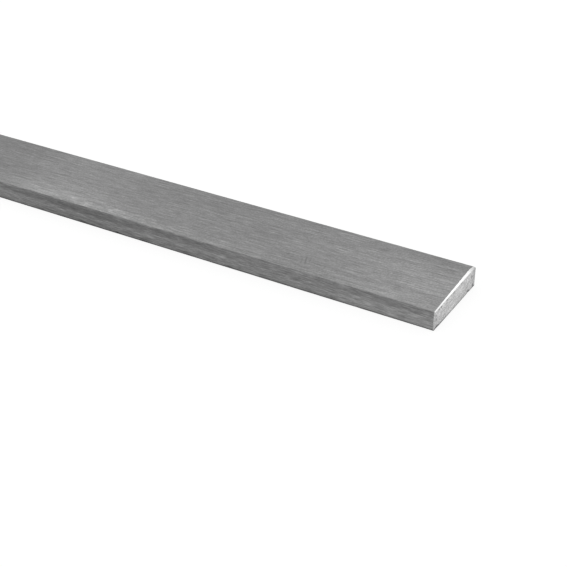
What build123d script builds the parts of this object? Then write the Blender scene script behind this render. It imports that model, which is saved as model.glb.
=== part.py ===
from build123d import *
import os

# Flat bar: one length of rolled steel stock, 45 mm wide and 10 mm thick.
#
# Millimetres, +Z up. The bar lies on a wide face with X along its length. The origin is the
# centre of the bottom face. The end at +X was sawn and then had its top edge ground by hand,
# and the end at -X is a plain saw cut.

# Stock as it left the mill
LENGTH = 1000.0
WIDTH = 45.0  # across the fullest part of the sides
THICKNESS = 10.0
SIDE_CROWN = 0.1  # bulge of each narrow side, from its corners to mid thickness
CORNER_RADIUS = 0.35  # rolled corners between the wide faces and the sides

# Saw cuts
BURR_BREAK = 0.25  # small flat left where the burr of each saw cut was filed off

# Hand-ground bevel along the top edge of the cut end. The grinder was tilted as it crossed the
# bar, so the bevel starts steep and narrow at the -Y side and ends low and wide at the +Y side.
BEVEL_RUN_START = 0.35  # along the top face
BEVEL_DROP_START = 0.4  # down the cut face
BEVEL_RUN_FINISH = 1.9
BEVEL_DROP_FINISH = 0.1

CUT_END_X = LENGTH / 2


def rolled_section(x):
    """Section of the stock at x: flat top and bottom, bulged sides and rounded corners."""
    half_flat = WIDTH / 2 - SIDE_CROWN
    right_foot = (half_flat, 0)
    right_head = (half_flat, THICKNESS)
    left_head = (-half_flat, THICKNESS)
    left_foot = (-half_flat, 0)
    right_bulge = (WIDTH / 2, THICKNESS / 2)
    left_bulge = (-WIDTH / 2, THICKNESS / 2)
    with BuildSketch(Plane.YZ.offset(x)) as section:
        with BuildLine():
            Line(left_foot, right_foot)
            ThreePointArc(right_foot, right_bulge, right_head)
            Line(right_head, left_head)
            ThreePointArc(left_head, left_bulge, left_foot)
        make_face()
        fillet(section.vertices(), CORNER_RADIUS)
    return section.sketch


def sawn_length():
    """The stock sawn square at both ends, with the burr broken all round each cut."""
    stock = extrude(rolled_section(-LENGTH / 2), amount=LENGTH)
    cut_faces = stock.faces().filter_by(Axis.X)
    return chamfer(cut_faces.edges(), BURR_BREAK)


def bevel_wedge(y, run, drop):
    """Triangle at y that the grinder took off the top edge, its slope drawn on past both faces."""
    behind_edge = (CUT_END_X - 2 * run, y, THICKNESS + drop)
    below_edge = (CUT_END_X + run, y, THICKNESS - 2 * drop)
    clear_corner = (CUT_END_X + run, y, THICKNESS + drop)
    return make_face(Polyline(behind_edge, below_edge, clear_corner, close=True))


def ground_bevel():
    """Everything the grinder removed, as a ruled form from the -Y side of the bar to the +Y side."""
    start = bevel_wedge(-WIDTH / 2, BEVEL_RUN_START, BEVEL_DROP_START)
    finish = bevel_wedge(WIDTH / 2, BEVEL_RUN_FINISH, BEVEL_DROP_FINISH)
    return loft([start, finish], ruled=True)


def flat_bar():
    """The finished bar, one solid."""
    return sawn_length() - ground_bevel()


os.makedirs("parts", exist_ok=True)
export_step(flat_bar(), "parts/flat_bar.step")
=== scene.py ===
"""Looks of the flat bar: rolled steel with brushed wide faces, a sawn end and a hand-ground bevel.

Lengths are metres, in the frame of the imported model: X runs along the bar towards the cut end, Z is
up, and the origin lies under the middle of the bar. A Geometry Nodes tree shapes the bar, one
procedural steel dresses it, and it lies on a pale studio floor.
"""

from __future__ import annotations

import logging
import math
from dataclasses import dataclass, fields, replace
from enum import Enum
from typing import Any, Mapping, Optional, Union

import bpy
import numpy as np
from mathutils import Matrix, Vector


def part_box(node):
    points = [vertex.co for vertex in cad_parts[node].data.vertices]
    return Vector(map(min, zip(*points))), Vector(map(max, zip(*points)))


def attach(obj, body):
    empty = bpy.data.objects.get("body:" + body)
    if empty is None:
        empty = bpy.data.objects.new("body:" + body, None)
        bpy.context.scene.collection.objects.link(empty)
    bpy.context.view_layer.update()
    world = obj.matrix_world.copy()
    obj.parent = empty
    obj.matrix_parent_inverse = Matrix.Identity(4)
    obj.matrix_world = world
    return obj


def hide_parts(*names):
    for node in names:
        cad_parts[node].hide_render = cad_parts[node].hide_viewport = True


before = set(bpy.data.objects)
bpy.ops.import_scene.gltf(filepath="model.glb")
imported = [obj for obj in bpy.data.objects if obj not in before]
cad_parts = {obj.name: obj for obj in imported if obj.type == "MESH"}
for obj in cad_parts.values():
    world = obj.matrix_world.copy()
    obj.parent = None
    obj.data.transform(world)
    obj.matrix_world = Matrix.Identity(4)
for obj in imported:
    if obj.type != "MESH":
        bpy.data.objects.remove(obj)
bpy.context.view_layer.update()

MM = 0.001
PICTURE_SIDE = 567  # pixels along each side of the finished picture
SAW_SLOPE = math.radians(14.0)  # slope of the blade lines, rising towards +Y
log = logging.getLogger("flat_bar")

Number = Union[float, "Wire"]
Pair = tuple[float, float]
Place = tuple[float, float, float]


# ---- node sheets


@dataclass(frozen=True)
class Wire:
    """One output socket of a node sheet. Arithmetic on it adds Math nodes to that sheet."""

    sheet: NodeSheet
    socket: Optional[bpy.types.NodeSocket]  # None for a node that only takes links

    def __add__(self, other: Number) -> Wire:
        """Return the sum."""
        return self.sheet.math("ADD", self, other)

    def __sub__(self, other: Number) -> Wire:
        """Return the difference."""
        return self.sheet.math("SUBTRACT", self, other)

    def __rsub__(self, other: Number) -> Wire:
        """Return the difference from a plain number."""
        return self.sheet.math("SUBTRACT", other, self)

    def __mul__(self, other: Number) -> Wire:
        """Return the product."""
        return self.sheet.math("MULTIPLY", self, other)

    def __truediv__(self, other: Number) -> Wire:
        """Return the quotient."""
        return self.sheet.math("DIVIDE", self, other)

    def __rtruediv__(self, other: Number) -> Wire:
        """Return a plain number divided by this value."""
        return self.sheet.math("DIVIDE", other, self)

    def __rpow__(self, other: Number) -> Wire:
        """Return a plain number raised to this value."""
        return self.sheet.math("POWER", other, self)

    def __neg__(self) -> Wire:
        """Return the value with its sign turned."""
        return self * -1.0

    def __abs__(self) -> Wire:
        """Return the size of the value."""
        return self.sheet.math("ABSOLUTE", self)

    __radd__ = __add__
    __rmul__ = __mul__

    def least(self, other: Number) -> Wire:
        """Return the smaller of two values."""
        return self.sheet.math("MINIMUM", self, other)

    def most(self, other: Number) -> Wire:
        """Return the larger of two values."""
        return self.sheet.math("MAXIMUM", self, other)

    def above(self, limit: Number) -> Wire:
        """Return 1 where the value is over a limit and 0 elsewhere."""
        return self.sheet.math("GREATER_THAN", self, limit)

    def sign(self) -> Wire:
        """Return -1, 0 or 1 by the sign of the value."""
        return self.sheet.math("SIGN", self)

    def root(self) -> Wire:
        """Return the square root."""
        return self.sheet.math("SQRT", self)

    def sine(self) -> Wire:
        """Return the sine of an angle in radians."""
        return self.sheet.math("SINE", self)

    def cosine(self) -> Wire:
        """Return the cosine of an angle in radians."""
        return self.sheet.math("COSINE", self)

    def rise(self, start: float, stop: float) -> Wire:
        """Return a smooth step from 0 at the start to 1 at the stop, whichever of them is larger."""
        settings = {"interpolation_type": "SMOOTHSTEP"}
        return self.sheet.add("ShaderNodeMapRange", settings, {0: self, 1: start, 2: stop})


@dataclass(frozen=True)
class NodeSheet:
    """A node tree that is filled by method calls and by arithmetic on its wires."""

    tree: bpy.types.NodeTree

    def __post_init__(self) -> None:
        """Start on an empty tree."""
        self.tree.nodes.clear()

    def add(
        self,
        kind: str,
        settings: Optional[Mapping[str, Any]] = None,
        sockets: Optional[Mapping[Union[str, int], Any]] = None,
        output: Union[str, int, None] = None,
    ) -> Wire:
        """Add one node, set it up, then fill or link its inputs.

        Args:
            kind: The node's type.
            settings: Properties of the node, set before its sockets.
            sockets: Values or wires by the input's name or number.
            output: The output wanted, or None for the first that is in use.

        Returns:
            The wanted output.
        """
        node = self.tree.nodes.new(kind)
        for name, value in (settings or {}).items():
            setattr(node, name, value)
        in_use = {socket.name: socket for socket in node.inputs if socket.enabled}
        for key, value in (sockets or {}).items():
            socket = node.inputs[key] if isinstance(key, int) else in_use[key]
            if isinstance(value, Wire):
                self.tree.links.new(value.socket, socket)
            else:
                socket.default_value = value
        if output is not None:
            return Wire(self, node.outputs[output])
        return Wire(self, next((s for s in node.outputs if s.enabled), None))

    def math(self, operation: str, *operands: Number) -> Wire:
        """Add a Math node on one, two or three numbers."""
        return self.add("ShaderNodeMath", {"operation": operation}, dict(enumerate(operands)))

    def vector(self, x: Number, y: Number, z: Number) -> Wire:
        """Join three numbers into a vector."""
        return self.add("ShaderNodeCombineXYZ", sockets={0: x, 1: y, 2: z})

    def split(self, vector: Wire) -> tuple[Wire, ...]:
        """Return the three numbers of a vector."""
        first = self.add("ShaderNodeSeparateXYZ", sockets={0: vector})
        return tuple(Wire(self, output) for output in first.socket.node.outputs)

    def mark(self, name: str) -> Wire:
        """Read a number that the shape tree stored on the bar."""
        return self.add("ShaderNodeAttribute", {"attribute_name": name}, output="Fac")

    def noise(self, x: Number, y: Number, z: Number, seed: Number, detail: float = 2.0) -> Wire:
        """Add smooth noise about 1 unit in grain.

        Args:
            x: First coordinate, divided by the grain wanted along it.
            y: Second coordinate, likewise.
            z: Third coordinate, likewise.
            seed: Picks one of many unlike patterns.
            detail: How many finer layers are laid over the first.

        Returns:
            A value from -1 to 1, most often near 0.
        """
        settings = {"noise_dimensions": "4D", "normalize": False}
        sockets = {"Vector": self.vector(x, y, z), "W": seed, "Scale": 1.0, "Detail": detail}
        return self.add("ShaderNodeTexNoise", settings, sockets)


def grey(level: float) -> tuple[float, float, float, float]:
    """Return a grey, where 1 is white."""
    return (level, level, level, 1.0)


# ---- shape of the bar


class SocketKind(Enum):
    """Kinds of named input that the shape tree takes."""

    SIZE = "NodeSocketFloat"
    COUNT = "NodeSocketInt"
    FINISH = "NodeSocketMaterial"


@dataclass(frozen=True)
class GroundBevel:
    """Bevel ground by hand along the top edge of the cut end.

    It is steep and narrow at the -Y side and low and wide at the +Y side. A run lies along the top
    face and a drop down the cut face.
    """

    run_start: float = 0.35 * MM
    run_finish: float = 1.9 * MM
    drop_start: float = 0.4 * MM
    drop_finish: float = 0.06 * MM
    waver: float = 0.16  # share by which the hand let run and drop wander
    waver_grain: float = 4.0 * MM
    lift_off: float = 0.32  # share of the run lost where the grinder left the +Y corner
    corner_drop: float = 0.5 * MM  # what the drop gains there
    corner_span: float = 3.5 * MM  # how far from the +Y side both begin


@dataclass(frozen=True)
class Nick:
    """Small tear that the saw left in the lower edge of the cut.

    Its place and reach are measured across the bar, from the middle, and up from the underside.
    """

    at: Pair
    reach: Pair
    depth: float


@dataclass
class BarShape:
    """Geometry Nodes tree that turns a gridded cube of half size 1 into the bar.

    Each step works on the cube's own coordinates: u along the bar with 1 at the cut end, v across
    it and w through its thickness.
    """

    rows_along: int
    rows_through: int
    nicks: tuple[Nick, ...]
    inputs: Mapping[str, tuple[SocketKind, Any]]
    bevel_rows: int = 6  # how many of the rows along the bar lie on the bevel
    drop_rows: int = 4  # how many of the rows through it do
    edge_pull: float = 0.92  # how strongly the rows across crowd towards the long edges
    face_level: float = 0.9999  # coordinate past which a point lies on a face of the cube
    corner_patterns: Pair = (7.0, 3.0)  # set the bumps of the four rolled corners apart
    smallest: float = 1e-9  # keeps a division from zero

    def __post_init__(self) -> None:
        """Open the tree and name its inputs."""
        self.tree = bpy.data.node_groups.new("flat_bar_shape", "GeometryNodeTree")
        self.sheet = NodeSheet(self.tree)
        self.tree.interface.new_socket("Bar", in_out="OUTPUT", socket_type="NodeSocketGeometry")
        self.identifiers: dict[str, str] = {}
        for name, (kind, _) in self.inputs.items():
            made = self.tree.interface.new_socket(name, in_out="INPUT", socket_type=kind.value)
            self.identifiers[name] = made.identifier
        self.entry = self.tree.nodes.new("NodeGroupInput")
        self.seed = self.given("Seed")
        self.half_flat = self.given("Width") * 0.5 - self.given("Side Crown")
        self.half_thick = self.given("Thickness") * 0.5

    def given(self, name: str) -> Wire:
        """Return one of the tree's named inputs."""
        return Wire(self.sheet, self.entry.outputs[name])

    def grid(self) -> Wire:
        """Return the gridded cube that the bar is made from."""
        rows = {
            "Vertices X": self.given("Rows Along"),
            "Vertices Y": self.given("Rows Across"),
            "Vertices Z": self.given("Rows Through"),
        }
        return self.sheet.add("GeometryNodeMeshCube", sockets={"Size": (2.0, 2.0, 2.0), **rows})

    def bevel_at(self, share: Wire) -> tuple[Wire, Wire]:
        """Work out the bevel at a share of the width.

        Args:
            share: 0 at the -Y side and 1 at the +Y side.

        Returns:
            The run along the top face and the drop down the cut face.
        """
        place = share * (self.given("Width") / self.given("Waver Grain"))
        waver = self.given("Waver")
        sizes = []
        for number, name in enumerate(("Run", "Drop")):
            start = self.given(f"{name} Start")
            straight = start + share * (self.given(f"{name} Finish") - start)
            sizes.append(straight * (1.0 + waver * self.sheet.noise(place, float(number), 0.0, self.seed)))
        past = 1.0 - ((1.0 - share) * self.given("Width") / self.given("Corner Span")).least(1.0)
        corner = self.ease(past)
        run = sizes[0] * (1.0 - self.given("Lift Off") * corner)
        return run, sizes[1] + self.given("Corner Drop") * corner

    def ease(self, value: Wire) -> Wire:
        """Return 0 to 1 as a smooth step, slow at both ends."""
        return value * value * (3.0 - 2.0 * value)

    def spaced(self, coordinate: Wire, on_bevel: float, bevel: Wire, whole: Wire) -> Wire:
        """Space rows evenly over the bevel, and past it with more near the bevel and the far face.

        Args:
            coordinate: The cube's coordinate along the bar or through it, 1 where the bevel is.
            on_bevel: The share of the rows that lies on the bevel.
            bevel: The bevel's run or drop at each point.
            whole: The bar's length or thickness.

        Returns:
            The distance from the cut end or from the top face.
        """
        share = (1.0 - coordinate) * 0.5
        first = (share / on_bevel).least(1.0)
        rest = ((share - on_bevel) / (1.0 - on_bevel)).most(0.0)
        return bevel * first + (whole - bevel) * self.ease(rest)

    def rounded(self, y: Wire, z: Wire, back: Wire) -> tuple[Wire, Wire]:
        """Round the four rolled corners, whose radius wanders a little along the bar.

        Args:
            y: Distance from the middle of the width.
            z: Distance from the middle of the thickness.
            back: Distance from the cut end.

        Returns:
            The new y and z.
        """
        by_side, by_level = self.corner_patterns
        pattern = y.sign() * by_side + z.sign() * by_level
        bumps = self.sheet.noise(back / self.given("Wander Grain"), pattern, 0.0, self.seed)
        radius = self.given("Corner Radius") * (1.0 + self.given("Corner Wander") * bumps)
        flat_y = self.half_flat - radius
        flat_z = self.half_thick - radius
        over_y = (abs(y) - flat_y).most(0.0)
        over_z = (abs(z) - flat_z).most(0.0)
        span = (over_y * over_y + over_z * over_z).root()
        pull = over_y.most(over_z) / span.most(self.smallest)
        new_y = y.sign() * (abs(y).least(flat_y) + over_y * pull)
        new_z = z.sign() * (abs(z).least(flat_z) + over_z * pull)
        return new_y, new_z

    def crowned(self, y: Wire, z: Wire) -> Wire:
        """Return y with the sides bulged most at mid thickness."""
        level = z / self.half_thick
        return y * (1.0 + self.given("Side Crown") / self.half_flat * (1.0 - level * level))

    def burr_inset(self, back: Wire) -> Wire:
        """Work out how far the outline draws in where the burr was filed off each end.

        Args:
            back: Distance from the cut end.

        Returns:
            The inset, which is 0 away from the ends.
        """
        size = self.given("Burr Break")
        from_end = back.least(self.given("Length") - back)
        near = (1.0 - from_end / size).most(0.0)
        return size * (1.0 - (1.0 - near * near).most(0.0).root())

    def ground(self, back: Wire, z: Wire, run: Wire, drop: Wire) -> tuple[Wire, Wire]:
        """Press what stands outside the bevel onto it, at right angles to its slope.

        Args:
            back: Distance from the cut end.
            z: Distance from the middle of the thickness.
            run: The bevel's run.
            drop: The bevel's drop.

        Returns:
            The new back and z.
        """
        outside = (1.0 - back / run - (self.half_thick - z) / drop).most(0.0)
        share = outside * run * drop / (run * run + drop * drop)
        return back + share * drop, z - share * run

    def saw_wave(self, u: Wire, y: Wire, z: Wire) -> Wire:
        """Work out the slanting waves that the blade left in both ends.

        Args:
            u: The cube's coordinate along the bar.
            y: Distance from the middle of the width.
            z: Distance from the middle of the thickness.

        Returns:
            How far they go in, measured away from the cut end, so negative at the other end.
        """
        across_lines = (z * math.cos(SAW_SLOPE) - y * math.sin(SAW_SLOPE)) / self.given("Saw Pitch")
        along_lines = (y * math.cos(SAW_SLOPE) + z * math.sin(SAW_SLOPE)) / self.given("Saw Line")
        noise = self.sheet.noise(across_lines, along_lines, u, self.seed)
        inwards = u.above(self.face_level) - (-u).above(self.face_level)
        return inwards * self.given("Saw Wave") * (0.5 + 0.5 * noise).most(0.0)

    def torn(self, back: Wire, y: Wire, z: Wire) -> Wire:
        """Work out how far the nicks bite into the cut.

        Args:
            back: Distance from the cut end.
            y: Distance from the middle of the width.
            z: Distance from the middle of the thickness.

        Returns:
            The depth of the bite.
        """
        bite: Number = 0.0
        for nick in self.nicks:
            wide, tall = nick.reach
            off_y = (y - nick.at[0]) / wide
            off_z = (z + self.half_thick - nick.at[1]) / tall
            off_x = back / tall
            inside = (1.0 - off_y * off_y - off_z * off_z - off_x * off_x).most(0.0)
            bite = inside * nick.depth + bite
        return bite

    def marked(self, mesh: Wire, name: str, value: Wire, domain: str = "FACE") -> Wire:
        """Return the mesh with a number stored on each face or point, for the finish to read."""
        settings = {"data_type": "FLOAT", "domain": domain}
        return self.sheet.add(
            "GeometryNodeStoreNamedAttribute", settings, {"Geometry": mesh, "Name": name, "Value": value}
        )

    def build(self) -> None:
        """Fill the tree, from the gridded cube to the bar with its finish set."""
        u, v, w = self.sheet.split(self.sheet.add("GeometryNodeInputPosition"))
        bevel_share = self.bevel_rows / (self.rows_along - 1)
        drop_share = self.drop_rows / (self.rows_through - 1)
        crowded = (v * (math.pi / 2)).sine() * self.edge_pull + v * (1.0 - self.edge_pull)
        across = crowded * 0.5 + 0.5
        run, drop = self.bevel_at(across)
        back = self.spaced(u, bevel_share, run, self.given("Length"))
        depth = self.spaced(w, drop_share, drop, self.given("Thickness"))
        y, z = self.rounded(crowded * self.half_flat, self.half_thick - depth, back)
        y = self.crowned(y, z)
        inset = self.burr_inset(back)
        y = y * (1.0 - inset / self.half_flat)
        z = z * (1.0 - inset / self.half_thick)
        lean_start = self.given("Lean Start")
        lean_most = lean_start + across * (self.given("Lean Finish") - lean_start)
        lean = lean_most * (z / self.half_thick * 0.5 + 0.5)
        back, z = self.ground(back, z, run, drop)
        bite = self.torn(back, y, z)
        on_cut = u.above(self.face_level)
        back = back + self.saw_wave(u, y, z) + bite + on_cut * lean
        place = self.sheet.vector(self.given("Length") * 0.5 - back, y, z + self.half_thick)

        bevel_top = w.above(self.face_level) * u.above(1.0 - 2.0 * bevel_share)
        bevel_cut = on_cut * w.above(1.0 - 2.0 * drop_share)
        ground = bevel_top.most(bevel_cut)
        sawn = abs(u).above(self.face_level) - bevel_cut
        mesh = self.marked(self.marked(self.grid(), "ground", ground), "sawn", sawn)
        mesh = self.marked(mesh, "torn", bite / self.given("Torn Full"), "POINT")
        steps = {
            "SetPosition": {"Position": place},
            "SetShadeSmooth": {},
            "RealizeInstances": {},
            "SetMaterial": {"Material": self.given("Finish")},
        }
        for step, sockets in steps.items():
            mesh = self.sheet.add(f"GeometryNode{step}", sockets={"Geometry": mesh, **sockets})
        self.sheet.add("NodeGroupOutput", sockets={0: mesh})


# ---- finish


@dataclass(frozen=True)
class Grain:
    """Layer of noise on a face, with grains so many millimetres long and wide."""

    long: float
    wide: float
    pattern: float  # picks one of many unlike patterns
    depth: float = 1.0  # how strongly it works, in the measure of what uses it
    relief: float = 0.0  # millimetres by which it raises and sinks the metal
    detail: float = 2.0  # how many finer layers are laid over the first


@dataclass(frozen=True)
class Patch:
    """Lighter or darker place on a face, measured in millimetres along the face and over it."""

    at: Pair
    reach: Pair  # from its middle to where it has faded out
    lift: float  # share by which the tone is raised at the middle, or lowered if negative

    def on(self, plan: Plan) -> Wire:
        """Work out the lift.

        Args:
            plan: The plan of the face.

        Returns:
            The lift at each point of the face.
        """
        off_along = (plan.along - self.at[0]) / self.reach[0]
        off_over = (plan.over - self.at[1]) / self.reach[1]
        near = (1.0 - off_along * off_along - off_over * off_over).most(0.0)
        return near * near * self.lift


@dataclass(frozen=True)
class Scuff:
    """Short scratch through the middle of a place, with fainter ones beside it."""

    place: Patch  # with the lift of the scratch
    pitch: float  # millimetres from scratch to scratch
    slant: float  # how far a scratch moves along the face for each millimetre over it

    def on(self, plan: Plan) -> Wire:
        """Return the lift over the face."""
        off = plan.along - self.place.at[0] - (plan.over - self.place.at[1]) * self.slant
        return self.place.on(plan) * (off * (2.0 * math.pi / self.pitch)).cosine().most(0.0)


@dataclass(frozen=True)
class Flecks:
    """Flecks scattered over a place, light if its lift is positive and dark if negative."""

    place: Patch
    grain: Grain

    def on(self, plan: Plan) -> Wire:
        """Return the lift over the face."""
        return self.place.on(plan) * plan.noise(self.grain).most(0.0)


Mark = Union[Patch, Scuff, Flecks]


@dataclass(frozen=True)
class Rim:
    """Lighter or darker strip beside an edge, measured in millimetres over the face."""

    inner: float  # where the strip fades out
    outer: float  # where it is at its full strength
    lift: float  # share by which it raises the tone, or lowers it if negative
    fade_in: Optional[Pair] = None  # where along the face it sets in and is full, if not all along

    def on(self, plan: Plan) -> Wire:
        """Return the lift over the face."""
        strip = self.lift * plan.over.rise(self.inner, self.outer)
        return strip * plan.along.rise(*self.fade_in) if self.fade_in else strip


@dataclass(frozen=True)
class Plan:
    """Plan of a face in millimetres, on which its grain and marks are laid.

    The face opposite shares the plan, with grain of its own and without the placed marks.
    """

    sheet: NodeSheet
    along: Wire
    over: Wire
    opposite: Wire  # 0 on the face itself and 1 on the one opposite
    shift: float = 40.0  # how far the opposite face's grain is from the face's own

    def noise(self, grain: Grain) -> Wire:
        """Return a layer's noise, from -1 to 1."""
        along, over = self.along / grain.long, self.over / grain.wide
        return self.sheet.noise(along, over, self.opposite * self.shift, grain.pattern, grain.detail)

    def turned(self, angle: float) -> Plan:
        """Return the plan with its lines turned by an angle in radians."""
        cos, sin = math.cos(angle), math.sin(angle)
        return replace(
            self, along=self.along * cos + self.over * sin, over=self.over * cos - self.along * sin
        )

    def strayed(self, drift: Grain) -> Plan:
        """Return the plan with its lines strayed sideways, by the drift's depth in millimetres."""
        return replace(self, over=self.over + self.noise(drift) * drift.depth)

    def grained(self, grains: tuple[Grain, ...]) -> tuple[Number, Number]:
        """Add up layers of grain.

        Args:
            grains: The layers, whose depths are powers of e.

        Returns:
            The power of e by which they lift the tone, and the relief in millimetres.
        """
        layers = [(grain, self.noise(grain)) for grain in grains]
        lift = sum(noise * grain.depth for grain, noise in layers)
        return lift, sum(noise * grain.relief for grain, noise in layers if grain.relief)

    def marked(self, marks: tuple[Mark, ...]) -> Wire:
        """Return the lift of placed marks, which is 0 on the opposite face."""
        return sum(mark.on(self) for mark in marks) * (1.0 - self.opposite)


@dataclass(frozen=True)
class Look:
    """What a finish gives the shader at each point."""

    tone: Number
    relief: Number
    roughness: Number

    def under(self, layer: Look, mask: Wire) -> Look:
        """Lay another look over this one.

        Args:
            layer: The look on top.
            mask: 1 where the top look shows and 0 where this one does.

        Returns:
            Both looks in one.
        """
        pairs = ((getattr(self, part.name), getattr(layer, part.name)) for part in fields(Look))
        return Look(*(under + (top - under) * mask for under, top in pairs))


@dataclass(frozen=True)
class Finish:
    """Finish of one kind of face. Its tone is linear, and its marks lie on the face's plan."""

    tone: float
    roughness: float
    grains: tuple[Grain, ...]
    rims: tuple[Rim, ...] = ()
    marks: tuple[Mark, ...] = ()

    def lines(self, plan: Plan) -> Plan:
        """Return the plan that the grains follow."""
        return plan

    def change(self, plan: Plan) -> Number:
        """Return what else the tone is multiplied by."""
        return 1.0

    def look(self, plan: Plan) -> Look:
        """Draw the finish.

        Args:
            plan: The plan of the face.

        Returns:
            The look at each point of the face.
        """
        lift, relief = self.lines(plan).grained(self.grains)
        tone = self.tone * math.e**lift
        if self.marks:
            tone = tone * (1.0 + plan.marked(self.marks))
        for rim in self.rims:
            tone = tone * (1.0 + rim.on(plan))
        return Look(tone * self.change(plan), relief, self.roughness)


@dataclass(frozen=True)
class LongFinish(Finish):
    """Finish of a long face, planned from the cut end, near which its marks and painted reflections are
    placed; farther on, and on the opposite face, a slow painted sheen stands in for the reflections.
    """

    sheen: Grain = Grain(long=95.0, wide=26.0, depth=0.26, pattern=15.0)  # painted sheen: slow lighter and darker stretches, by a share of the tone
    sheen_start: float = 230.0  # where the sheen fades in, past the placed marks
    sheen_full: float = 320.0

    def change(self, plan: Plan) -> Wire:
        """Return the slow painted sheen of the stretches with no placed marks."""
        away = plan.along.rise(self.sheen_start, self.sheen_full).most(plan.opposite)
        return 1.0 + plan.noise(self.sheen) * self.sheen.depth * away


@dataclass(frozen=True)
class BrushedFace(LongFinish):
    """Wide face, brushed at the mill, with painted reflections near the cut end. It is planned from the
    cut end and the -Y side.
    """

    tone: float = 0.254
    roughness: float = 0.40
    slope: float = math.radians(-1.2)  # of the brush lines, which near the +Y side at the cut end
    drift: Grain = Grain(long=26.0, wide=5.0, depth=0.8, pattern=3.0)
    grains: tuple[Grain, ...] = (
        Grain(long=1.0, wide=0.75, depth=0.26, pattern=4.0, relief=0.002),
        Grain(long=18.0, wide=0.6, depth=0.34, pattern=5.0, relief=0.003, detail=1.0),
        Grain(long=5.0, wide=0.9, depth=0.24, pattern=13.0),
        Grain(long=110.0, wide=4.0, depth=0.06, pattern=6.0),
        Grain(long=40.0, wide=6.0, depth=0.08, pattern=7.0),
    )
    rims: tuple[Rim, ...] = (
        # Painted shade: the wide face darkens towards the +Y side, and a thin dark line along the +Y edge
        # is a painted dark reflection in its rounded corner.
        Rim(inner=27.0, outer=45.0, lift=-0.06),
        Rim(inner=44.1, outer=44.6, lift=-0.06),
    )
    marks: tuple[Mark, ...] = (
        # Painted reflections: the broad patches and the bright flecks paint the room's reflection, lighter
        # and glinting near the -Y edge and darker beyond it and towards +Y.
        Patch(at=(212.0, 0.0), reach=(70.0, 22.0), lift=0.20),
        Patch(at=(140.0, 32.0), reach=(85.0, 40.0), lift=-0.11),
        Patch(at=(165.0, 0.0), reach=(85.0, 6.0), lift=0.11),
        Flecks(
            place=Patch(at=(180.0, 0.0), reach=(72.0, 12.0), lift=0.76),
            grain=Grain(long=5.0, wide=2.3, pattern=19.0, detail=1.0),
        ),
        Patch(at=(8.0, 22.0), reach=(60.0, 24.0), lift=0.10),
        Patch(at=(270.0, 20.0), reach=(50.0, 60.0), lift=-0.20),
        Patch(at=(5.0, 42.0), reach=(35.0, 16.0), lift=-0.10),
        Patch(at=(12.0, 0.0), reach=(58.0, 10.0), lift=0.19),
        Patch(at=(92.0, 10.0), reach=(40.0, 8.0), lift=-0.06),
        # Spots and a scratch in the metal itself.
        Patch(at=(78.0, 10.5), reach=(7.0, 6.0), lift=-0.07),
        Patch(at=(80.5, 11.1), reach=(1.3, 1.1), lift=-0.18),
        Patch(at=(77.6, 9.9), reach=(1.3, 1.0), lift=-0.20),
        Patch(at=(75.4, 6.6), reach=(1.2, 1.1), lift=-0.20),
        Scuff(place=Patch(at=(70.3, 10.2), reach=(3.5, 7.4), lift=-0.28), pitch=2.1, slant=0.36),
    )

    def lines(self, plan: Plan) -> Plan:
        """Return the plan of the brush lines, which slope a little and stray."""
        return plan.strayed(self.drift).turned(self.slope)


@dataclass(frozen=True)
class RolledSide(LongFinish):
    """Narrow side as rolled and dull, with painted reflection bands, painted shade along its foot and dark
    flecks. It is planned from the cut end and the underside.
    """

    tone: float = 0.199
    roughness: float = 0.46
    grains: tuple[Grain, ...] = (
        Grain(long=6.0, wide=0.5, depth=0.52, pattern=8.0, relief=0.006, detail=3.0),
        Grain(long=1.4, wide=0.45, depth=0.20, pattern=14.0),
        Grain(long=60.0, wide=2.2, depth=0.22, pattern=9.0, detail=3.0),
    )
    rims: tuple[Rim, ...] = (
        # Painted contact shade along the lower edge, where the side meets the floor.
        Rim(inner=1.15, outer=0.25, lift=-0.58),
        # Painted highlight along the upper corner, fading in away from the cut end.
        Rim(inner=9.0, outer=10.0, lift=0.20, fade_in=(60.0, 220.0)),
    )
    marks: tuple[Mark, ...] = (
        # The broad patches paint the side's reflection bands: darker under the top edge and near the
        # underside, lighter at mid height. The flecks darken it near the lower edge.
        Patch(at=(190.0, 7.4), reach=(110.0, 3.4), lift=-0.34),
        Patch(at=(170.0, 1.6), reach=(110.0, 2.6), lift=-0.12),
        Patch(at=(0.0, 3.5), reach=(75.0, 5.0), lift=0.22),
        Patch(at=(100.0, 4.0), reach=(50.0, 3.2), lift=0.14),
        Patch(at=(222.0, 4.5), reach=(34.0, 3.0), lift=0.12),
        Patch(at=(125.0, 8.4), reach=(50.0, 2.6), lift=-0.12),
        Flecks(
            place=Patch(at=(160.0, 0.5), reach=(140.0, 3.6), lift=-0.9),
            grain=Grain(long=9.0, wide=1.3, pattern=20.0),
        ),
    )
    # Painted sheen: slow reflection bands over the rest of the side.
    sheen: Grain = Grain(long=90.0, wide=6.0, depth=0.22, pattern=16.0)


def pit(at: Pair, lift: float) -> Patch:
    """Return a patch as small as the pits of a saw cut are."""
    return Patch(at=at, reach=(1.4, 1.1), lift=lift)


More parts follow.
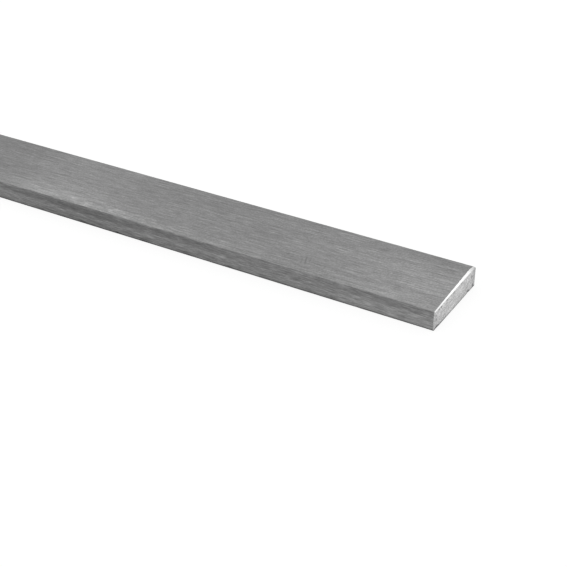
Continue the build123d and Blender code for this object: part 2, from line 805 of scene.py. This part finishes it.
@dataclass(frozen=True)
class SawnFace(Finish):
    """Saw cut, fresh and bright, with sloping lines. It is planned from the -Y side and underside."""

    tone: float = 0.493
    roughness: float = 0.42
    grains: tuple[Grain, ...] = (
        Grain(long=8.0, wide=0.5, depth=0.42, pattern=10.0, relief=0.008, detail=3.0),
        Grain(long=0.9, wide=0.6, depth=0.58, pattern=11.0, relief=0.003, detail=1.0),
        Grain(long=4.0, wide=0.16, depth=0.54, pattern=17.0, relief=0.004, detail=1.0),
    )
    # Painted contact shade along the lower edge of the cut, where it meets the floor.
    rims: tuple[Rim, ...] = (Rim(inner=1.0, outer=0.3, lift=-0.80),)
    marks: tuple[Mark, ...] = (
        Patch(at=(0.0, 6.0), reach=(6.0, 6.0), lift=-0.15),
        Patch(at=(45.0, 5.8), reach=(6.0, 6.0), lift=-0.30),
        Patch(at=(25.0, 7.5), reach=(10.0, 5.0), lift=0.12),
        Patch(at=(20.0, 2.5), reach=(7.0, 4.0), lift=0.14),
        Patch(at=(6.0, 0.5), reach=(9.0, 2.4), lift=-0.16),
        Patch(at=(8.5, 0.2), reach=(6.0, 1.0), lift=-0.60),
        Patch(at=(38.0, 1.0), reach=(8.0, 2.2), lift=-0.12),
        Patch(at=(27.0, 1.6), reach=(8.0, 2.6), lift=-0.17),
        Patch(at=(36.0, 8.6), reach=(8.0, 3.2), lift=0.16),
        Patch(at=(7.0, 8.0), reach=(14.0, 4.0), lift=0.23),
        Patch(at=(5.0, 6.4), reach=(1.5, 1.2), lift=-0.14),
        Patch(at=(28.0, 5.6), reach=(2.4, 1.7), lift=-0.14),
        Patch(at=(24.2, 4.9), reach=(1.6, 1.1), lift=-0.08),
        Patch(at=(36.5, 7.1), reach=(1.5, 1.1), lift=0.34),
        Flecks(
            place=Patch(at=(14.0, 8.8), reach=(16.0, 2.0), lift=-0.50),
            grain=Grain(long=1.6, wide=0.5, pattern=21.0, detail=1.0),
        ),
    )
    pits: tuple[Patch, ...] = (  # with lifts that are powers of e
        pit(at=(2.1, 4.9), lift=-0.42),
        pit(at=(1.7, 6.9), lift=-0.35),
        pit(at=(4.5, 8.8), lift=-0.62),
        pit(at=(7.3, 8.8), lift=-1.0),
        pit(at=(7.4, 5.9), lift=-0.42),
        pit(at=(13.2, 9.3), lift=-0.75),
        pit(at=(20.8, 8.7), lift=-0.7),
        pit(at=(29.3, 9.5), lift=-0.8),
        pit(at=(41.0, 6.6), lift=-0.65),
    )
    pit_grain: Grain = Grain(long=0.7, wide=0.4, depth=1.8, pattern=22.0)  # which makes them ragged
    tear: float = 0.66  # share of the tone lost where a nick is torn most: torn metal, and painted shade in its hollow
    tear_grain: Grain = Grain(long=1.1, wide=0.7, depth=1.1, pattern=18.0)  # which frays their outline

    def lines(self, plan: Plan) -> Plan:
        """Return the plan of the blade lines."""
        return plan.turned(SAW_SLOPE)

    def change(self, plan: Plan) -> Wire:
        """Darken the pits, and the nicks, whose darkening is partly torn metal and partly painted shade in
        their hollows.

        Args:
            plan: The plan of the cut.

        Returns:
            What the tone is multiplied by.
        """
        ragged = (1.0 + plan.noise(self.pit_grain) * self.pit_grain.depth).most(0.0)
        frayed = 1.0 + plan.noise(self.tear_grain) * self.tear_grain.depth
        torn = (plan.sheet.mark("torn") * frayed).most(0.0).least(1.0)
        return math.e ** (plan.marked(self.pits) * ragged) * (1.0 - self.tear * torn)


@dataclass(frozen=True)
class GroundFace(Finish):
    """Hand-ground bevel, the brightest metal. It is planned from the cut end and the -Y side."""

    tone: float = 0.92
    roughness: float = 0.30
    grains: tuple[Grain, ...] = (Grain(long=0.12, wide=3.0, depth=0.08, pattern=12.0, relief=0.004),)
    rims: tuple[Rim, ...] = (
        # Painted shade: the bevel's glint fades towards the +Y corner, where the bevel turns away from the
        # lamp.
        Rim(inner=18.0, outer=31.5, lift=-0.08),
        Rim(inner=37.0, outer=45.0, lift=-0.38),
    )


@dataclass(frozen=True)
class BareSteel:
    """The bar's one material: bare steel in four states of finish. Lengths are millimetres."""

    length: float
    width: float
    thickness: float
    brushed: Finish = BrushedFace()
    side: Finish = RolledSide()
    sawn: Finish = SawnFace()
    ground: Finish = GroundFace()
    corner_inner: float = 0.36  # from the side, where the wide face starts to turn into it
    corner_outer: float = 0.16  # and where it has done so
    cut_edge: float = 0.3  # how far fresh metal laps round onto the sides at each end
    cut_fade: float = 0.6  # and where it has faded out

    def material(self) -> bpy.types.Material:
        """Build the material.

        Returns:
            Bare steel, read from Object coordinates and from the marks of the shape tree.
        """
        steel = bpy.data.materials.new("bare_steel")
        steel.use_nodes = True
        sheet = NodeSheet(steel.node_tree)
        place = sheet.add("ShaderNodeTexCoord", output="Object")
        x, y, up = (axis * (1.0 / MM) for axis in sheet.split(place))
        half = self.width / 2
        back = self.length / 2 - x
        across = y + half

        on_side = abs(y).rise(half - self.corner_inner, half - self.corner_outer)
        from_end = back.least(self.length - back)
        lapped = on_side * (1.0 - from_end.rise(self.cut_edge, self.cut_fade))
        on_cut = sheet.mark("sawn").most(lapped)

        wide_plan = Plan(sheet, back, across, 1.0 - up.above(self.thickness / 2))
        side_plan = Plan(sheet, back, up, y.above(0.0))
        cut_plan = Plan(sheet, across, up, (-x).above(0.0))
        look = self.brushed.look(wide_plan).under(self.side.look(side_plan), on_side)
        look = look.under(self.sawn.look(cut_plan), on_cut)
        look = look.under(self.ground.look(wide_plan), sheet.mark("ground"))

        colours = {"Factor": look.tone, "A": grey(0.0), "B": grey(1.0)}
        colour = sheet.add("ShaderNodeMix", {"data_type": "RGBA"}, colours)
        bumps = {"Height": look.relief, "Distance": MM, "Strength": 1.0}
        normal = sheet.add("ShaderNodeBump", sockets=bumps)
        shader = sheet.add(
            "ShaderNodeBsdfPrincipled",
            sockets={"Base Color": colour, "Metallic": 1.0, "Roughness": look.roughness, "Normal": normal},
        )
        sheet.add("ShaderNodeOutputMaterial", sockets={"Surface": shader})
        return steel


# ---- the bar


class LongFace(Enum):
    """The bar's long faces, each with the number of the axis that it faces along, and the sign."""

    TOP = (2, 1)
    BOTTOM = (2, -1)
    LEFT = (1, 1)
    RIGHT = (1, -1)

    @property
    def wide(self) -> bool:
        """Whether it is one of the two wide faces."""
        return self in (LongFace.TOP, LongFace.BOTTOM)


@dataclass
class BakeSheet:
    """Flat layout of the bar's faces on one square map.

    Each long face is cut in two halves that lie in lanes of their own, one above the other, and
    the two ends share the lowest lane. Lanes and gaps are shares of the map.
    """

    length: float
    width: float
    thickness: float
    gap: float = 0.003
    end_gap: float = 0.012  # between the ends
    end_lane: float = 0.10
    overlap: float = 8.0 * MM  # how far a half may run past the middle of the bar
    bevel_room: float = 3.0 * MM  # above the cut end, for its bevel rolled out flat

    def span(self, face: LongFace) -> float:
        """Return how wide a long face is."""
        return self.width if face.wide else self.thickness

    def lanes(self) -> dict[tuple[LongFace, int], Pair]:
        """Share the map's height between the halves of the long faces.

        Returns:
            The lowest line and the height of each lane, by face and half.
        """
        margins = self.gap * (2 * len(LongFace) + 2)  # one above each lane and two above the ends
        scale = (1.0 - self.end_lane - margins) / (2.0 * sum(self.span(face) for face in LongFace))
        lanes = {}
        base = self.end_lane + 2.0 * self.gap
        for face in LongFace:
            for half in (0, 1):
                height = self.span(face) * scale
                lanes[face, half] = (base, height)
                base += height + self.gap
        return lanes

    def lay(self, mesh: bpy.types.Mesh) -> None:
        """Write the layout as a UV map.

        Args:
            mesh: The bar's finished mesh, with the face marks of the shape tree.
        """
        centre = self._read(mesh.polygons, "center", 3)
        normal = self._read(mesh.polygons, "normal", 3)
        starts = self._read(mesh.polygons, "loop_start", 1, np.int32)
        corner_face = np.repeat(np.arange(len(centre)), np.diff(starts, append=len(mesh.loops)))
        points = self._read(mesh.vertices, "co", 3)
        corners = points[self._read(mesh.loops, "vertex_index", 1, np.int32)]
        sawn, ground = (self._read(mesh.attributes[name].data, "value", 1) for name in ("sawn", "ground"))
        cut = sawn + ground > 0
        facing = np.where(np.abs(normal[:, 2]) > np.abs(normal[:, 1]), 2, 1)
        place = np.zeros((len(corners), 2))
        half_length, half_width = self.length / 2, self.width / 2
        reach = half_length + self.overlap
        for (face, half), (base, height) in self.lanes().items():
            axis, sign = face.value
            shown = ~cut & (facing == axis) & (np.sign(normal[:, axis]) == sign)
            here = (shown & ((centre[:, 0] < 0) == bool(half)))[corner_face]
            along = half_length - corners[here, 0] * (-1.0 if half else 1.0)
            side = corners[here, 1] + half_width if face.wide else corners[here, 2]
            place[here, 0] = self.gap + along / reach * (1.0 - 2.0 * self.gap)
            place[here, 1] = base + side / self.span(face) * height
        scale = (self.end_lane - self.gap) / (self.thickness + self.bevel_room)
        for number, sign in enumerate((1.0, -1.0)):
            here = (cut & (np.sign(centre[:, 0]) == sign))[corner_face]
            rolled_out = corners[here, 2] + half_length - np.abs(corners[here, 0])
            shift = self.gap + number * (self.width * scale + self.end_gap)
            place[here, 0] = shift + (corners[here, 1] + half_width) * scale
            place[here, 1] = self.gap + rolled_out * scale
        layer = mesh.uv_layers.new(name="OFBake")
        layer.uv.foreach_set("vector", place.astype(np.float32).ravel())

    @staticmethod
    def _read(
        items: bpy.types.bpy_prop_collection, name: str, width: int, kind: type = np.float32
    ) -> np.ndarray:
        """Read one property of every item.

        Args:
            items: The vertices, faces, face corners or marks of a mesh.
            name: The property.
            width: How many numbers it has.
            kind: The kind of number.

        Returns:
            The numbers, in one row, or in a row for each item where it has several.
        """
        found = np.empty(len(items) * width, kind)
        items.foreach_get(name, found)
        return found.reshape(-1, width) if width > 1 else found


@dataclass
class FlatBar:
    """The bar itself. Its plain numbers, and its bevel's, are the named inputs of the shape tree."""

    length: float
    width: float
    thickness: float
    side_crown: float = 0.1 * MM
    corner_radius: float = 0.3 * MM
    corner_wander: float = 0.35  # share of the radius by which it changes along the bar
    wander_grain: float = 9.0 * MM  # how long those changes are
    burr_break: float = 0.25 * MM
    saw_wave: float = 0.05 * MM  # depth of the waves that the blade left
    saw_pitch: float = 1.3 * MM  # from wave to wave
    saw_line: float = 20.0 * MM  # how long a wave is
    torn_full: float = 0.08 * MM  # depth at which a nick is darkest
    lean_start: float = 0.1 * MM  # how far the top of the cut leans back at the -Y side
    lean_finish: float = 0.35 * MM  # and at the +Y side
    bevel: GroundBevel = GroundBevel()
    nicks: tuple[Nick, ...] = (
        Nick(at=(-19.9 * MM, 0.2 * MM), reach=(3.1 * MM, 1.7 * MM), depth=0.12 * MM),
        Nick(at=(14.6 * MM, 0.5 * MM), reach=(1.5 * MM, 1.6 * MM), depth=0.16 * MM),
        Nick(at=(20.2 * MM, 1.3 * MM), reach=(0.9 * MM, 1.5 * MM), depth=0.16 * MM),
    )
    rows_along: int = 261
    rows_across: int = 121
    rows_through: int = 29
    seed: float = 11.0

    def shape_inputs(self, finish: bpy.types.Material) -> dict[str, tuple[SocketKind, Any]]:
        """List the shape tree's named inputs with the values for this bar.

        Args:
            finish: The material that the bar wears.

        Returns:
            Each input's kind and value, by name.
        """
        kinds = {float: SocketKind.SIZE, int: SocketKind.COUNT}
        inputs = {"Finish": (SocketKind.FINISH, finish)}
        for owner in (self, self.bevel):
            for part in fields(owner):
                value = getattr(owner, part.name)
                if type(value) in kinds:
                    inputs[part.name.replace("_", " ").title()] = (kinds[type(value)], value)
        return inputs

    def build(self, finish: bpy.types.Material) -> bpy.types.Object:
        """Grow the bar from its shape tree and make the result a plain mesh.

        Args:
            finish: The material that the bar wears.

        Returns:
            The bar, at the origin and with no modifier.
        """
        inputs = self.shape_inputs(finish)
        shape = BarShape(self.rows_along, self.rows_through, self.nicks, inputs)
        shape.build()
        bar = bpy.data.objects.new("rolled_bar", bpy.data.meshes.new("rolled_bar"))
        bpy.context.scene.collection.objects.link(bar)
        grow = bar.modifiers.new("shape", "NODES")
        grow.node_group = shape.tree
        for name, (_, value) in inputs.items():
            grow[shape.identifiers[name]] = value
        view = bpy.context.evaluated_depsgraph_get()
        plain = bpy.data.meshes.new_from_object(bar.evaluated_get(view))
        bar.modifiers.clear()
        bar.data = plain
        BakeSheet(self.length, self.width, self.thickness).lay(plain)
        return bar

    def place(self, bar: bpy.types.Object) -> None:
        """Attach the bar to the root body and hide the imported solid that it stands for.

        Args:
            bar: The finished bar.
        """
        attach(bar, "root")
        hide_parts("flat_bar")


# ---- studio


@dataclass(frozen=True)
class SoftBox:
    """Square or oblong lamp with an even, soft face."""

    name: str
    centre: Place
    aim: Place
    across: float
    up: float
    level: float  # brightness of its face, where 1 is white

    def hang(self) -> None:
        """Hang the lamp so that it faces its aim."""
        light = bpy.data.lights.new(self.name, "AREA")
        light.shape = "RECTANGLE"
        light.size = self.across
        light.size_y = self.up
        light.energy = self.level * math.pi * self.across * self.up
        lamp = bpy.data.objects.new(self.name, light)
        lamp.location = self.centre
        heading = Vector(self.aim) - Vector(self.centre)
        lamp.rotation_euler = heading.to_track_quat("-Z", "Y").to_euler()
        bpy.context.scene.collection.objects.link(lamp)


@dataclass(frozen=True)
class Viewpoint:
    """Camera, placed from the lower -Y corner of the cut end."""

    offset: Place = (0.17345, -0.42045, 0.29722)
    heading: float = math.radians(30.714)  # from +Y towards -X
    dip: float = math.radians(31.217)
    focal: float = 1233.3  # pixels, for a picture PICTURE_SIDE wide
    sensor: float = 36.0
    nearest: float = 0.01  # metres, closer than which nothing shows

    def set_up(self, corner: Vector) -> None:
        """Make the camera, and look through it.

        Args:
            corner: The lower -Y corner of the cut end.
        """
        lens = bpy.data.cameras.new("camera")
        lens.sensor_width = self.sensor
        lens.lens = self.sensor * self.focal / PICTURE_SIDE
        lens.clip_start = self.nearest
        camera = bpy.data.objects.new("camera", lens)
        camera.location = corner + Vector(self.offset)
        camera.rotation_euler = (math.pi / 2 - self.dip, 0.0, self.heading)
        bpy.context.scene.collection.objects.link(camera)
        bpy.context.scene.camera = camera


@dataclass
class Studio:
    """Pale floor, white surroundings and soft lamps."""

    floor_side: float = 12.0
    floor_drop: float = 0.1 * MM  # keeps the floor clear of the bar's underside
    floor_tone: float = 0.8
    lift: float = 0.86  # how much of the floor's white is its own, so that shadows stay pale
    spare_white: float = 1.2  # how far the lit floor's other part goes past white
    room_level: float = 0.9
    lamps: tuple[SoftBox, ...] = (
        SoftBox("bevel_box", (0.45, 0.81, 0.74), (0.5, 0.0, 0.0), across=0.5, up=0.35, level=0.5),
        SoftBox("front_box", (-0.2, -1.3, 1.3), (0.2, 0.0, 0.0), across=1.0, up=0.8, level=1.2),
    )

    @staticmethod
    def seen_white(sheet: NodeSheet) -> Wire:
        """Pick out the rays that see the background as white.

        Args:
            sheet: The sheet of the floor or the world.

        Returns:
            1 for rays from the eye, a mirror or glass, and 0 for those that light the bar.
        """
        path = sheet.add("ShaderNodeLightPath", output="Is Camera Ray")
        outputs = path.socket.node.outputs
        mirror = Wire(sheet, outputs["Is Glossy Ray"])
        glass = Wire(sheet, outputs["Is Transmission Ray"])
        return path.most(mirror).most(glass)

    def floor_material(self) -> bpy.types.Material:
        """Build the floor's material.

        Returns:
            A matt pale floor that shows white, with pale shadows.
        """
        made = bpy.data.materials.new("pale_floor")
        made.use_nodes = True
        sheet = NodeSheet(made.node_tree)
        matt = sheet.add("ShaderNodeBsdfDiffuse", sockets={"Color": grey(self.floor_tone)})
        rest = grey(self.spare_white * (1.0 - self.lift))
        part = sheet.add("ShaderNodeBsdfDiffuse", sockets={"Color": rest})
        own = sheet.add("ShaderNodeEmission", sockets={"Strength": self.lift})
        lifted = sheet.add("ShaderNodeAddShader", sockets={0: part, 1: own})
        shown = sheet.add("ShaderNodeMixShader", sockets={0: self.seen_white(sheet), 1: matt, 2: lifted})
        sheet.add("ShaderNodeOutputMaterial", sockets={"Surface": shown})
        return made

    def lay_floor(self) -> None:
        """Lay the floor."""
        half = self.floor_side / 2
        corners = [(-half, -half), (half, -half), (half, half), (-half, half)]
        mesh = bpy.data.meshes.new("floor")
        mesh.from_pydata([(x, y, -self.floor_drop) for x, y in corners], [], [(0, 1, 2, 3)])
        mesh.materials.append(self.floor_material())
        floor = bpy.data.objects.new("floor", mesh)
        bpy.context.scene.collection.objects.link(floor)

    def light_room(self) -> None:
        """Surround the bar with white that lights it evenly."""
        world = bpy.data.worlds.new("white_room")
        world.use_nodes = True
        sheet = NodeSheet(world.node_tree)
        level = self.room_level + (1.0 - self.room_level) * self.seen_white(sheet)
        shell = sheet.add("ShaderNodeBackground", sockets={"Color": grey(1.0), "Strength": level})
        sheet.add("ShaderNodeOutputWorld", sockets={"Surface": shell})
        bpy.context.scene.world = world

    def build(self) -> None:
        """Set up floor, room and lamps."""
        self.lay_floor()
        self.light_room()
        for lamp in self.lamps:
            lamp.hang()


def report_piece(piece: bpy.types.Object) -> None:
    """Log a piece's name and its number of triangles."""
    piece.data.calc_loop_triangles()
    log.info("%s: %d triangles", piece.name, len(piece.data.loop_triangles))


def main() -> None:
    """Build the bar, dress it and set up the studio."""
    logging.basicConfig(level=logging.INFO)
    bpy.context.scene.view_settings.view_transform = "Standard"
    low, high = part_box("flat_bar")
    bar = FlatBar(*(high - low))
    steel = BareSteel(bar.length / MM, bar.width / MM, bar.thickness / MM)
    piece = bar.build(steel.material())
    bar.place(piece)
    report_piece(piece)
    Studio().build()
    Viewpoint().set_up(Vector((high.x, low.y, low.z)))


if __name__ == "__main__":
    main()
